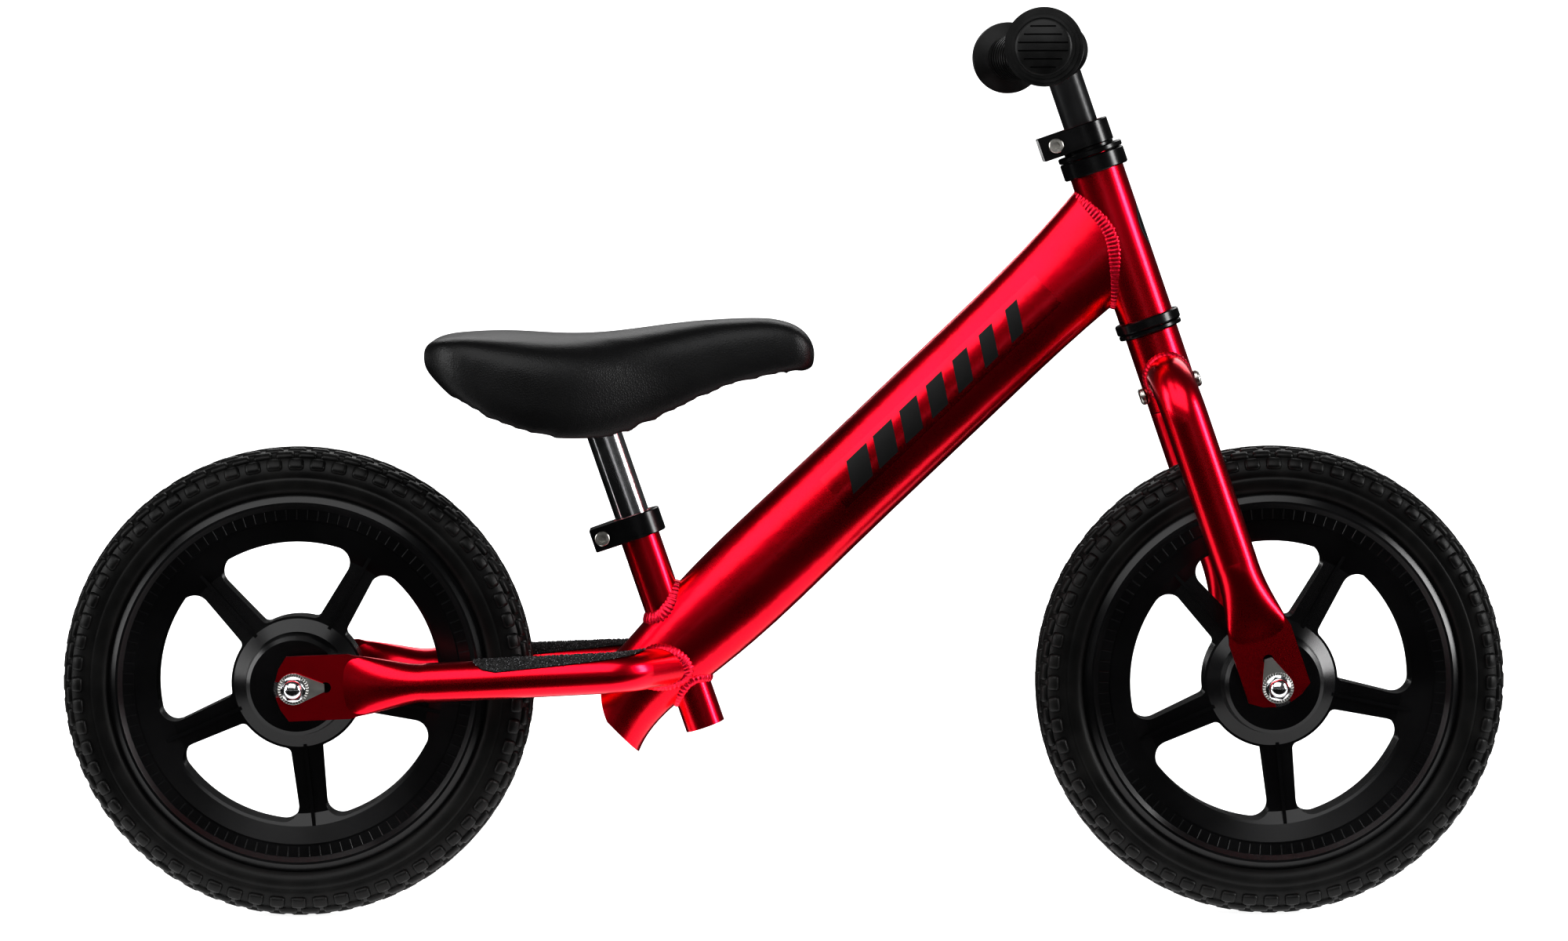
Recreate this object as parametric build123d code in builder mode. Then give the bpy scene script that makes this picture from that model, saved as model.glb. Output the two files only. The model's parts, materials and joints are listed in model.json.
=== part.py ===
"""A twelve-inch balance bike: welded frame, turning fork, two plastic wheels, T-bar and saddle.

Millimetres. +X points forward, +Y to the rider's left, +Z up. The origin is on the ground,
midway between the two axles.
"""

import os
from math import cos, radians, sin

from build123d import *

# Driving dimensions
wheelbase = 620
wheel_radius = 150
tube_lean = 19  # both the steering axis and the seat tube lean back by this angle
stay_rise = 2.5  # the rear stays climb forward by this angle
main_tube_rise = 43.6
track = 49  # from the middle plane to the middle of a fork leg or a stay at its axle
fit_gap = 0.05  # radial gap of a sliding or turning fit

# Wheels
tyre_half_width = 22.5
rim_flange_radius = 120.5
rim_bead_radius = 115.5  # the flange's bevelled outer face starts here
rim_well_radius = 116
window_outer_radius = 90
window_inner_radius = 42.5
hub_half_length = 33
spoke_count = 5
first_spoke_angle = -84
axle_radius = 4.75
bearing_radius = 13
bearing_width = 8

# Frame tubes
wall = 2
head_tube_radius = 17.5
head_tube_bottom = 245.7
head_tube_top = 343.3
main_tube_height = 61.9
main_tube_width = 44
head_joint = (211.1, 0, 437.3)  # where the main tube's centreline meets the steering axis
main_end_centre = (-71, 144.5)
main_end_radius = 46.5
seat_tube_foot = (-51, 0, 120.9)
seat_tube_radius = 12.7
seat_tube_length = 143
stub_bore_radius = 11.5  # the open lower end of the seat tube takes the peg of a stand
stub_bore_depth = 30
stay_radius = 12.5
pad_thickness = 0.8

# Fork and headset, measured up the steering axis from the front axle
leg_radius = 14
crown_radius = 17
crown_bottom = 185.4
crown_top = 235.7
leg_branch = 205.5
steerer_radius = 12.7
steerer_top = 374.9
clamp_height = 15

# Handlebar, post and saddle
bar_radius = 11.1
bar_height = 423
bar_half_width = 186
bar_sweep = 20
bar_wall = 1.6
stem_radius = 11.08  # a hair under the cross tube, so that the two surfaces cross cleanly
stem_foot = 285
post_foot = 40

# Dropouts, hardware
plate_half_height = 20.4
plate_thickness = 4.5
washer_thickness = 1.5

lean_sin = sin(radians(tube_lean))
lean_cos = cos(radians(tube_lean))
rise_sin = sin(radians(stay_rise))
rise_cos = cos(radians(stay_rise))
main_sin = sin(radians(main_tube_rise))
main_cos = cos(radians(main_tube_rise))

# Reference planes. Each one's Z runs along its tube and its Y is the bike's +Y.
steer = Plane(
    origin=(wheelbase / 2, 0, wheel_radius),
    x_dir=(lean_cos, 0, lean_sin),
    z_dir=(-lean_sin, 0, lean_cos),
)
seat = Plane(origin=seat_tube_foot, x_dir=(lean_cos, 0, lean_sin), z_dir=(-lean_sin, 0, lean_cos))
stay = Plane(
    origin=(-wheelbase / 2, 0, wheel_radius),
    x_dir=(rise_sin, 0, -rise_cos),
    z_dir=(rise_cos, 0, rise_sin),
)
main = Plane(origin=head_joint, x_dir=(main_sin, 0, -main_cos), z_dir=(main_cos, 0, main_sin))

os.makedirs("parts", exist_ok=True)


def save(piece, name):
    """Label a finished piece and write it as its own STEP file."""
    piece.part.label = name
    export_step(piece.part, f"parts/{name}.step")


# ---------------------------------------------------------------- main tube
def main_tube_form(inset, start):
    """The oval tube, inset by a wall, from its rounded lower end to beyond the head tube."""
    with BuildPart() as form:
        for station in (start, -340, -240, -180, -130, -90, -55, -20, 14):
            flare = max(station + 130, 0)
            height = main_tube_height + 5.1e-6 * flare**3
            narrowing = min(max(station + 300, 0) / 300, 1)
            width = main_tube_width - 11 * narrowing**2
            with BuildSketch(main.offset(station)):
                Ellipse(height / 2 - inset, width / 2 - inset)
        loft()
        with BuildSketch(Plane.XZ):
            with Locations(main_end_centre):
                Rectangle(180, 200)
                Circle(main_end_radius - inset, mode=Mode.SUBTRACT)
                Rectangle(
                    300,
                    300,
                    rotation=main_tube_rise,
                    align=(Align.MIN, Align.CENTER),
                    mode=Mode.SUBTRACT,
                )
                with Locations((inset - main_end_radius, 0)):
                    Rectangle(200, 200, align=Align.MIN, mode=Mode.SUBTRACT)
        extrude(amount=60, both=True, mode=Mode.SUBTRACT)
    return form.part


main_outside = main_tube_form(0, -450)
main_inside = main_tube_form(wall, -450)

with BuildPart() as main_tube:
    add(main_outside)
    add(main_inside, mode=Mode.SUBTRACT)
    with BuildSketch(steer.offset(head_tube_bottom - 20)):
        Circle(head_tube_radius)
    extrude(amount=160, mode=Mode.SUBTRACT)
    with BuildSketch(seat):
        Circle(seat_tube_radius)
    extrude(amount=seat_tube_length, mode=Mode.SUBTRACT)
    with BuildSketch(steer.offset(head_tube_bottom - 20)):
        with Locations((26, 0)):
            Rectangle(60, 80)
    extrude(amount=160, mode=Mode.SUBTRACT)
save(main_tube, "main_tube")


# ---------------------------------------------------------------- head tube and headset
cup_radius = 21
cup_insert_depth = 9
head_bore_radius = head_tube_radius - wall
headset_bearing_radius = 18.4
headset_bearing_height = 5.5
lower_cup_bottom = 239
upper_cup_top = 354.2

with BuildPart() as head_tube:
    with BuildSketch(steer.offset(head_tube_bottom)):
        Circle(head_tube_radius)
        Circle(head_bore_radius, mode=Mode.SUBTRACT)
    extrude(amount=head_tube_top - head_tube_bottom)
save(head_tube, "head_tube")


def headset_cup(name, mouth, shoulder, into_tube):
    """A pressed cup. Its mouth holds the bearing and its skirt is pressed into the head tube."""
    with BuildPart() as cup:
        with BuildSketch(steer.offset(mouth)):
            Circle(cup_radius)
        extrude(amount=into_tube * abs(shoulder - mouth))
        rims = cup.edges().filter_by(GeomType.CIRCLE)
        chamfer(rims, 0.8)
        with BuildSketch(steer.offset(shoulder)):
            Circle(head_bore_radius)
        extrude(amount=into_tube * cup_insert_depth)
        with BuildSketch(steer.offset(mouth)):
            Circle(headset_bearing_radius)
        extrude(amount=into_tube * headset_bearing_height, mode=Mode.SUBTRACT)
        with BuildSketch(steer.offset(mouth - into_tube)):
            Circle(steerer_radius + 0.8)
        extrude(amount=into_tube * 60, mode=Mode.SUBTRACT)
    save(cup, f"headset_{name}_cup")

    with BuildPart() as bearing:
        with BuildSketch(steer.offset(mouth + into_tube * 0.2)):
            Circle(headset_bearing_radius)
            Circle(steerer_radius + fit_gap, mode=Mode.SUBTRACT)
        extrude(amount=into_tube * (headset_bearing_height - 0.2))
        for ring_radius in (steerer_radius + 1.6, headset_bearing_radius - 1.4):
            with BuildSketch(steer.offset(mouth + into_tube * 0.2)):
                Circle(ring_radius + 0.15)
                Circle(ring_radius - 0.15, mode=Mode.SUBTRACT)
            extrude(amount=into_tube * 0.4, mode=Mode.SUBTRACT)
    save(bearing, f"headset_{name}_bearing")


headset_cup("lower", lower_cup_bottom, head_tube_bottom, 1)
headset_cup("upper", upper_cup_top, head_tube_top, -1)

with BuildPart() as crown_race:
    with BuildSketch(steer.offset(crown_top)):
        Circle(20.5)
        Circle(steerer_radius, mode=Mode.SUBTRACT)
    extrude(amount=3)
    outer_rims = crown_race.edges().filter_by(GeomType.CIRCLE).group_by(SortBy.RADIUS)[-1]
    chamfer(outer_rims, 0.6)
save(crown_race, "crown_race")

with BuildPart() as top_cover:
    with BuildSketch(steer.offset(upper_cup_top + 0.4)):
        Circle(cup_radius)
        Circle(steerer_radius, mode=Mode.SUBTRACT)
    extrude(amount=3.6)
    upper_rim = top_cover.edges().filter_by(GeomType.CIRCLE).group_by(SortBy.RADIUS)[-1]
    chamfer(upper_rim, 0.7)
    with BuildSketch(steer.offset(upper_cup_top + 4)):
        Circle(steerer_radius + 3.4)
        Circle(steerer_radius, mode=Mode.SUBTRACT)
    extrude(amount=1.6)
save(top_cover, "headset_top_cover")


# ---------------------------------------------------------------- seat tube and clamps
clamp_slit = 2
clamp_bolt_radius = 2.5
clamp_bolt_head = 4.7


def slit_behind(plane, length, tube_reach):
    """The narrow slit that lets a tube's top close on what is inside it, with a round foot."""
    with BuildPart() as cutter:
        with BuildSketch(plane):
            with Locations((-tube_reach / 2, 0)):
                Rectangle(tube_reach, clamp_slit)
        extrude(amount=-length)
        foot = plane.from_local_coords((0, 0, -length))
        with BuildSketch(Plane(origin=foot, x_dir=(0, 1, 0), z_dir=-plane.x_dir)):
            Circle(clamp_slit)
        extrude(amount=tube_reach)
    return cutter.part


def tube_clamp(name, plane, bore, radius, ear_reach, bolt_reach):
    """A split collar with two ears behind the tube, and the socket screw that closes it."""
    ear_half = 12
    with BuildPart() as collar:
        with BuildSketch(plane):
            Circle(radius)
            with Locations((-ear_reach + 4, 0)):
                Rectangle(8, 2 * ear_half)
            make_hull()
        extrude(amount=clamp_height)
        ends = collar.faces().filter_by(Axis(plane.origin, plane.z_dir))
        chamfer(ends.edges(), 0.6)
        with BuildSketch(plane):
            Circle(bore)
            with Locations((-ear_reach / 2, 0)):
                Rectangle(ear_reach, clamp_slit)
        extrude(amount=clamp_height, mode=Mode.SUBTRACT)
        middle = plane.from_local_coords((-bolt_reach, 0, clamp_height / 2))
        bolt = Plane(origin=middle, x_dir=plane.x_dir, z_dir=(0, -1, 0))
        with BuildSketch(bolt):
            Circle(clamp_bolt_radius + fit_gap)
        extrude(amount=radius, both=True, mode=Mode.SUBTRACT)
        head_seat = bolt.offset(11)
        with BuildSketch(head_seat):
            Circle(clamp_bolt_head + 0.3)
        extrude(amount=radius, mode=Mode.SUBTRACT)
    save(collar, name)

    head_height = 4.6
    with BuildPart() as screw:
        with BuildSketch(head_seat):
            Circle(clamp_bolt_head)
        extrude(amount=head_height)
        head_end = screw.faces().sort_by(Axis.Y)[0]
        chamfer(head_end.edges(), 0.5)
        with BuildSketch(head_seat):
            Circle(clamp_bolt_radius)
        extrude(amount=-23)
        with BuildSketch(head_seat.offset(head_height)):
            RegularPolygon(2.5, 6)
        extrude(amount=-3, mode=Mode.SUBTRACT)
    save(screw, f"{name}_screw")


with BuildPart() as seat_tube:
    with BuildSketch(seat):
        Circle(seat_tube_radius)
        Circle(bar_radius + fit_gap, mode=Mode.SUBTRACT)
    extrude(amount=seat_tube_length)
    add(slit_behind(seat.offset(seat_tube_length), 28, 20), mode=Mode.SUBTRACT)
    with BuildSketch(seat):
        Circle(stub_bore_radius)
    extrude(amount=stub_bore_depth, mode=Mode.SUBTRACT)
save(seat_tube, "seat_tube")

seat_clamp_plane = seat.offset(seat_tube_length - clamp_height)
tube_clamp("seat_clamp", seat_clamp_plane, seat_tube_radius, 17.5, 29, 22.5)
bar_clamp_plane = steer.offset(steerer_top - clamp_height)
tube_clamp("bar_clamp", bar_clamp_plane, steerer_radius, 17, 29.7, 20)


# ---------------------------------------------------------------- flattened tube ends
slot_width = 9.9
tab_hole_radius = 3.4


def flattened_end(frame, side, tube, hole_at):
    """The end of a leg or a stay, pressed flat round the axle, with its slot and tab hole."""
    with BuildPart() as end:
        for distance, half_height, half_thickness in (
            (27, 20.2, 1.2),
            (34, 20, 3.2),
            (44, 18.6, 7),
            (60, 15.6, 11.4),
            (76, tube, tube),
            (84, tube, tube),
        ):
            with BuildSketch(frame.offset(distance)):
                with Locations((0, side * track)):
                    Ellipse(half_height, half_thickness)
        loft()
        plate_centre = frame.from_local_coords((0, side * track, 0))
        plate = Plane(origin=plate_centre, x_dir=frame.z_dir, z_dir=frame.y_dir)
        with BuildSketch(plate):
            with BuildLine():
                Polyline(
                    (-11.4, 0),
                    (-11.4, 5),
                    (-8.8, 13),
                    (-3.8, plate_half_height),
                    (35, plate_half_height),
                    (47, 17),
                    (47, 0),
                )
                mirror(about=Plane.XZ)
            make_face()
        extrude(amount=plate_thickness / 2, both=True)
        with BuildSketch(plate):
            Circle(slot_width / 2)
            with Locations((-10, 0)):
                Rectangle(20, slot_width)
            with Locations((hole_at, 0)):
                Circle(tab_hole_radius)
        extrude(amount=plate_thickness, both=True, mode=Mode.SUBTRACT)
    return end.part


# ---------------------------------------------------------------- rear stays and foot pads
def stay_path(side):
    """Forward from the flattened end, then inward to the side of the main tube."""
    with BuildLine(Plane(origin=stay.origin, x_dir=stay.z_dir, z_dir=stay.x_dir * -side)) as path:
        FilletPolyline((84, track), (112, track), (208, 44), (243, 5), radius=34)
    return path.line


def swept_ring(path, outer, inner):
    """A round tube along a path."""
    with BuildPart() as ring:
        with BuildSketch(Plane(origin=path @ 0, z_dir=path % 0)):
            Circle(outer)
            Circle(inner, mode=Mode.SUBTRACT)
        sweep(path=path)
    return ring.part


for side, side_name in ((1, "left"), (-1, "right")):
    route = stay_path(side)

    with BuildPart() as stay_tube:
        add(swept_ring(route, stay_radius, stay_radius - wall))
        add(flattened_end(stay, side, stay_radius, 20.2))
        add(main_outside, mode=Mode.SUBTRACT)
        with BuildSketch(seat):
            Circle(seat_tube_radius)
        extrude(amount=seat_tube_length, mode=Mode.SUBTRACT)
    save(stay_tube, f"stay_{side_name}")

    with BuildPart() as foot_pad:
        add(swept_ring(route, stay_radius + pad_thickness, stay_radius))
        with BuildSketch(Plane.XZ):
            with BuildLine():
                Polyline(
                    (-197, 166.8),
                    (-191, 163),
                    (-183, 161.4),
                    (-150, 164.6),
                    (-118, 167.9),
                    (-100, 170.2),
                    (-88, 173.2),
                    (-88, 190),
                    (-197, 190),
                    (-197, 166.8),
                )
            make_face()
        extrude(amount=80, both=True, mode=Mode.INTERSECT)
        add(main_outside, mode=Mode.SUBTRACT)
    save(foot_pad, f"foot_pad_{side_name}")


# ---------------------------------------------------------------- fork
with BuildPart() as steerer:
    with BuildSketch(steer.offset(crown_bottom + 1)):
        Circle(steerer_radius)
        Circle(bar_radius + fit_gap, mode=Mode.SUBTRACT)
    extrude(amount=steerer_top - crown_bottom - 1)
    add(slit_behind(steer.offset(steerer_top), 17, 20), mode=Mode.SUBTRACT)
    bolt_centre = steer.from_local_coords((0, 0, 198))
    with BuildSketch(Plane(origin=bolt_centre, z_dir=steer.x_dir)):
        Circle(3.1)
    extrude(amount=crown_radius, both=True, mode=Mode.SUBTRACT)
save(steerer, "steerer_tube")

with BuildPart() as crown:
    with BuildSketch(steer.offset(crown_bottom)):
        Circle(crown_radius)
        Circle(steerer_radius, mode=Mode.SUBTRACT)
    extrude(amount=crown_top - crown_bottom)
    lower_rim = crown.edges().filter_by(GeomType.CIRCLE).group_by(SortBy.RADIUS)[-1]
    chamfer(lower_rim, 0.8)
    with BuildSketch(Plane(origin=bolt_centre, z_dir=steer.x_dir)):
        Circle(3.1)
    extrude(amount=crown_radius, both=True, mode=Mode.SUBTRACT)
save(crown, "fork_crown")

with BuildPart() as crown_screws:
    for facing in (1, -1):
        seat_point = steer.from_local_coords((facing * crown_radius, 0, 198))
        with BuildSketch(Plane(origin=seat_point, z_dir=steer.x_dir * facing)):
            Circle(5.5)
        extrude(amount=3.3)
        dome = crown_screws.faces().sort_by(Axis(steer.origin, steer.x_dir * facing))[-1]
        fillet(dome.edges(), 2)
        with BuildSketch(Plane(origin=seat_point, z_dir=steer.x_dir * facing)):
            Circle(3)
        extrude(amount=-9)
        tip_point = steer.from_local_coords((facing * (crown_radius + 3.3), 0, 198))
        with BuildSketch(Plane(origin=tip_point, z_dir=steer.x_dir * facing)):
            RegularPolygon(2, 6)
        extrude(amount=-1.8, mode=Mode.SUBTRACT)
save(crown_screws, "crown_screws")

for side, side_name in ((1, "left"), (-1, "right")):
    leg_face = Plane(origin=steer.origin, x_dir=(0, side, 0), z_dir=steer.x_dir * side)
    with BuildLine(leg_face) as leg_line:
        FilletPolyline((4, leg_branch), (track, leg_branch), (track, 84), radius=27)
    with BuildPart() as fork_leg:
        add(swept_ring(leg_line.line, leg_radius, leg_radius - wall))
        add(flattened_end(steer, side, leg_radius, 18.5))
        with BuildSketch(steer.offset(crown_bottom - 10)):
            Circle(crown_radius)
        extrude(amount=80, mode=Mode.SUBTRACT)
    save(fork_leg, f"fork_leg_{side_name}")


# ---------------------------------------------------------------- axles and their hardware
plate_outer = track + plate_thickness / 2
plate_inner = track - plate_thickness / 2
nut_base = plate_outer + washer_thickness
hex_height = 4.2
dome = 6.3
nut_top = nut_base + 9.8


def axle_set(name, frame):
    """The axle, its collars, tab washers and acorn nuts. They stay still as the wheel turns."""
    centre = frame.origin
    sides = [Plane(origin=centre, x_dir=frame.z_dir, z_dir=(0, facing, 0)) for facing in (1, -1)]

    with BuildPart() as axle:
        for plane in sides:
            with BuildSketch(plane):
                Circle(axle_radius)
            extrude(amount=nut_base + hex_height)
    save(axle, f"{name}_axle")

    with BuildPart() as collars:
        for plane in sides:
            with BuildSketch(plane.offset(hub_half_length + 0.3)):
                Circle(7)
                Circle(axle_radius, mode=Mode.SUBTRACT)
            extrude(amount=4)
            with BuildSketch(plane.offset(hub_half_length + 3)):
                Circle(12.8)
                Circle(axle_radius, mode=Mode.SUBTRACT)
            extrude(amount=plate_inner - hub_half_length - 3)
    save(collars, f"{name}_axle_collars")

    with BuildPart() as washers:
        for plane in sides:
            with BuildSketch(plane.offset(plate_outer)):
                Circle(10)
                with Locations((17, 0)):
                    Rectangle(5, 5)
                make_hull()
                Circle(axle_radius, mode=Mode.SUBTRACT)
            extrude(amount=washer_thickness)
            with BuildSketch(plane.offset(plate_outer)):
                with Locations((18.6, 0)):
                    Rectangle(1.6, 4.4)
            extrude(amount=-3)
    save(washers, f"{name}_tab_washers")

    with BuildPart() as nuts:
        for plane in sides:
            with BuildSketch(plane.offset(nut_base)):
                RegularPolygon(6.5, 6, major_radius=False)
            extrude(amount=hex_height)
            half_plane = Plane(origin=centre, x_dir=plane.x_dir, z_dir=plane.x_dir.cross(plane.z_dir))
            with BuildSketch(half_plane):
                with BuildLine():
                    Polyline((0, nut_base), (8, nut_base), (8, nut_base + 1.2), (dome, nut_base + 2.2))
                    Line((dome, nut_base + 2.2), (dome, nut_base + hex_height))
                    Spline(
                        (dome, nut_base + hex_height),
                        (dome * 0.72, nut_top - 1.5),
                        (0, nut_top),
                        tangents=((0, 1), (-1, 0)),
                    )
                    Line((0, nut_top), (0, nut_base))
                make_face()
            revolve(axis=Axis(centre, plane.z_dir))
            with BuildSketch(plane.offset(nut_base)):
                Circle(axle_radius)
            extrude(amount=hex_height, mode=Mode.SUBTRACT)
    save(nuts, f"{name}_axle_nuts")


axle_set("rear", stay)
axle_set("front", steer)


# ---------------------------------------------------------------- wheels
def window_outline():
    """One of the five rounded openings between the spokes."""
    start = first_spoke_angle
    finish = start + 360 / spoke_count
    inner_lead = 12.9
    outer_lead = 5.1
    middle = (start + finish) / 2
    corners = [
        (window_inner_radius, start + inner_lead),
        (window_outer_radius, start + outer_lead),
        (window_outer_radius, finish - outer_lead),
        (window_inner_radius, finish - inner_lead),
    ]
    a, b, c, d = [(r * cos(radians(t)), r * sin(radians(t))) for r, t in corners]
    middle_cos = cos(radians(middle))
    middle_sin = sin(radians(middle))
    outer_mid = (window_outer_radius * middle_cos, window_outer_radius * middle_sin)
    inner_mid = (window_inner_radius * middle_cos, window_inner_radius * middle_sin)
    with BuildSketch() as window:
        with BuildLine():
            Line(a, b)
            ThreePointArc(b, outer_mid, c)
            Line(c, d)
            ThreePointArc(d, inner_mid, a)
        make_face()
        between = (window_outer_radius + window_inner_radius) / 2
        fillet(window.vertices().filter_by(lambda v: Vector(v).length > between), 10)
        near_hub = window.vertices().filter_by(lambda v: Vector(v).length < window_inner_radius + 1)
        fillet(near_hub, 4)
    return window.sketch


def wheel(name, axle_x):
    """A moulded five-spoke wheel with its foam tyre and two hub bearings."""
    centre = (axle_x, 0, wheel_radius)
    section = Plane(origin=centre, x_dir=(0, 1, 0), z_dir=(1, 0, 0))
    face = Plane(origin=centre, x_dir=(1, 0, 0), z_dir=(0, -1, 0))
    spin = Axis(centre, (0, 1, 0))

    with BuildPart() as rim:
        with BuildSketch(section):
            with BuildLine():
                Polyline(
                    (0, 9),
                    (hub_half_length - bearing_width, 9),
                    (hub_half_length - bearing_width, bearing_radius),
                    (hub_half_length, bearing_radius),
                    (hub_half_length, 29),
                    (hub_half_length - 2, 31.5),
                    (17, 33),
                    (12, 41),
                    (11, 50),
                    (10, 84),
                    (13, 92),
                    (16, 103),
                    (17.2, 104),
                    (18, 111),
                    (20.7, 114),
                    (20.7, rim_bead_radius),
                    (17.7, rim_flange_radius),
                    (17, rim_flange_radius),
                    (17, rim_well_radius),
                    (0, rim_well_radius),
                )
                mirror(about=Plane.YZ)
            make_face()
        revolve(axis=spin)
        with BuildSketch(face):
            with PolarLocations(0, spoke_count):
                add(window_outline())
        extrude(amount=40, both=True, mode=Mode.SUBTRACT)
        for direction in (1, -1):
            with BuildSketch(face.offset(direction * 9)):
                with PolarLocations(0, spoke_count, start_angle=first_spoke_angle):
                    with Locations((65, 0)):
                        Rectangle(74, 2.2)
            extrude(amount=direction * 4)
    save(rim, f"{name}_rim")

    with BuildPart() as tyre:
        with BuildSketch(section):
            with BuildLine():
                Polyline((0, rim_well_radius), (17, rim_well_radius), (17, rim_flange_radius))
                Line((17, rim_flange_radius), (17.7, rim_flange_radius))
                Spline(
                    (17.7, rim_flange_radius),
                    (tyre_half_width, 131),
                    (20.6, 141.5),
                    (12, 148.6),
                    (0, wheel_radius),
                    tangents=((1, 0.35), (-1, 0)),
                )
                Line((0, wheel_radius), (0, rim_well_radius))
            make_face()
            mirror(about=Plane.YZ)
        revolve(axis=spin)
    save(tyre, f"{name}_tyre")

    with BuildPart() as bearings:
        for direction in (1, -1):
            with BuildSketch(face.offset(direction * (hub_half_length - bearing_width))):
                Circle(bearing_radius)
                Circle(axle_radius + fit_gap, mode=Mode.SUBTRACT)
            extrude(amount=direction * bearing_width)
            with BuildSketch(face.offset(direction * hub_half_length)):
                Circle(bearing_radius - 2.2)
                Circle(bearing_radius - 5.4, mode=Mode.SUBTRACT)
            extrude(amount=-direction * 0.5, mode=Mode.SUBTRACT)
    save(bearings, f"{name}_hub_bearings")


wheel("rear", -wheelbase / 2)
wheel("front", wheelbase / 2)


# ---------------------------------------------------------------- handlebar and grips
bar_middle = steer.from_local_coords((0, 0, bar_height))
bar_bend = 62
straight_end = 90  # the bore of each end stops before the bend
grip_length = 104
flange_radius = 23.8
rib_count = 12
rib_pitch = 7

with BuildPart() as handlebar:
    with BuildLine(Plane(origin=bar_middle)) as bar_line:
        FilletPolyline(
            (-bar_sweep, bar_half_width),
            (0, bar_bend),
            (0, -bar_bend),
            (-bar_sweep, -bar_half_width),
            radius=160,
        )
    bar = bar_line.line
    with BuildSketch(Plane(origin=bar @ 0, x_dir=(0, 0, 1), z_dir=bar % 0)):
        Circle(bar_radius)
    sweep(path=bar)
    with BuildSketch(steer.offset(stem_foot)):
        Circle(stem_radius)
    extrude(amount=bar_height - stem_foot)
    with BuildSketch(steer.offset(stem_foot)):
        Circle(bar_radius - bar_wall)
    extrude(amount=bar_height - stem_foot - 14, mode=Mode.SUBTRACT)
    for tip, inward in ((bar @ 0, bar % 0), (bar @ 1, -(bar % 1))):
        with BuildSketch(Plane(origin=tip, x_dir=(0, 0, 1), z_dir=inward)):
            Circle(bar_radius - bar_wall)
        extrude(amount=straight_end, mode=Mode.SUBTRACT)
save(handlebar, "handlebar")

for side, side_name in ((1, "left"), (-1, "right")):
    tip = bar @ (0 if side == 1 else 1)
    outward = (bar % 0) * -1 if side == 1 else bar % 1
    upright = Vector(0, 0, 1)
    grip_plane = Plane(origin=tip, x_dir=outward.cross(upright), z_dir=outward)
    profile_plane = Plane(origin=tip, x_dir=upright, z_dir=upright.cross(outward))
    with BuildPart() as grip:
        with BuildSketch(profile_plane):
            with BuildLine():
                Polyline(
                    (bar_radius, -grip_length),
                    (17.4, -grip_length),
                    (17.4, -grip_length + 4),
                    (14.6, -grip_length + 5.5),
                    (14.6, -5),
                    (20, -3.5),
                    (flange_radius, -2.5),
                    (flange_radius, 2),
                    (21.6, 2.2),
                    (21.6, 3.6),
                    (19.1, 3.8),
                    (19.1, 5),
                    (17.4, 5.2),
                )
                Spline((17.4, 5.2), (13.5, 7.6), (0, 9.6), tangents=((-0.4, 1), (-1, 0)))
                Polyline((0, 9.6), (0, 0), (bar_radius, 0), (bar_radius, -grip_length))
            make_face()
        revolve(axis=Axis(tip, outward))
        for rib in range(rib_count):
            with BuildSketch(grip_plane.offset(-grip_length + 9 + rib * rib_pitch)):
                Circle(15.6)
                Circle(14, mode=Mode.SUBTRACT)
            extrude(amount=3)
        with BuildSketch(grip_plane.offset(12)):
            for line in range(6):
                height = (line - 2.5) * 4.9
                with Locations((0, height)):
                    SlotOverall(2 * (17 - abs(height) * 0.75), 0.9)
        extrude(amount=-6.6, mode=Mode.SUBTRACT)
    save(grip, f"grip_{side_name}")


# ---------------------------------------------------------------- saddle
# Stations from tail to nose: place along X, underside, top, half width at the widest point
saddle_stations = (
    (-229.5, 353, 362, 30),
    (-221, 345.5, 370, 50),
    (-205, 332, 371.8, 63),
    (-180, 316.5, 370.3, 69),
    (-135, 304.9, 367.9, 64),
    (-95, 312, 371.6, 45),
    (-60, 329, 377.4, 33),
    (-25, 342.3, 381.1, 28),
    (2, 348.6, 377.8, 25),
    (15, 350.8, 364, 14),
)
pan_recess = 14
pan_thickness = 3


def saddle_form(side_inset, low, high, first, last):
    """A loft through the saddle's stations, inset sideways, between two heights of its depth."""
    with BuildPart() as form:
        for place, under, top, half in saddle_stations[first:last]:
            bottom = under + low
            ceiling = top if high is None else under + high
            width = 2 * (half - side_inset)
            height = ceiling - bottom
            middle = (place, 0, (bottom + ceiling) / 2)
            with BuildSketch(Plane(origin=middle, x_dir=(0, 1, 0), z_dir=(1, 0, 0))):
                RectangleRounded(width, height, min(height, width) * 0.32)
        loft()
    return form.part


recess = saddle_form(8, -20, pan_recess, 2, 9)
above_pan = saddle_form(-12, pan_recess - pan_thickness, 60, 1, 10)
bracket_bottom = 312.5
bracket_middle = (-121, 0, bracket_bottom)
post_top = post_foot + 176

with BuildPart() as saddle_screws:
    for along in (-18, 18):
        for across in (-12, 12):
            screw_plane = Plane(origin=Vector(bracket_middle) + Vector(along, across, 0))
            with BuildSketch(screw_plane):
                Circle(4.4)
            extrude(amount=-2.6)
            with BuildSketch(screw_plane):
                Circle(2.4)
            extrude(amount=6.5)
    undersides = saddle_screws.faces().filter_by(Plane.XY).group_by(Axis.Z)[0]
    chamfer(undersides.edges(), 0.6)
save(saddle_screws, "saddle_screws")

with BuildPart() as seat_post:
    with BuildSketch(seat.offset(post_foot)):
        Circle(bar_radius)
        Circle(bar_radius - bar_wall, mode=Mode.SUBTRACT)
    extrude(amount=post_top - post_foot)
    add(above_pan, mode=Mode.SUBTRACT)
save(seat_post, "seat_post")

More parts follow.
